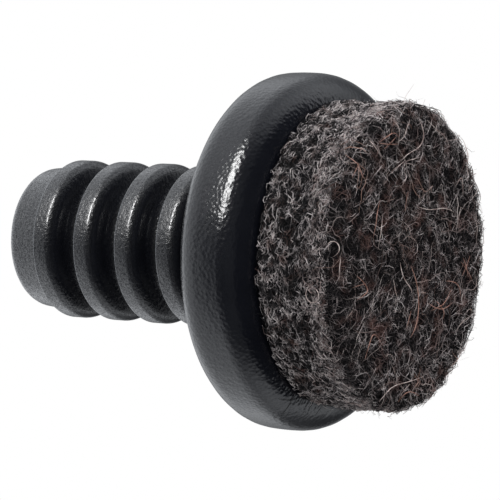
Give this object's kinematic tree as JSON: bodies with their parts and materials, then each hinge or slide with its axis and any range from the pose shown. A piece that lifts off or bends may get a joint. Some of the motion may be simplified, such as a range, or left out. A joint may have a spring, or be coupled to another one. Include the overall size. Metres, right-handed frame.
{
  "type": "finned push-in chair leg glide",
  "caption": "Push-in glide for a tubular chair leg: finned stem, thick round flange and a felt pad that meets the floor.",
  "frame": {"origin": "middle of the object's bounding box at its bottom, where the felt meets the floor, on the stem's axis", "axes": "+Z along the stem, from the felt to the nose; the pad sits a little towards -Y"},
  "size_m": [0.025, 0.025, 0.0314],
  "materials": {
    "black_plastic": "fine satin grain",
    "grey_felt": "mixed wool felt",
    "adhesive": "matt"
  },
  "bodies": {
    "root": {"glide_body": "black_plastic", "felt_pad": "grey_felt", "adhesive_disc": "adhesive"}
  },
  "joints": []
}
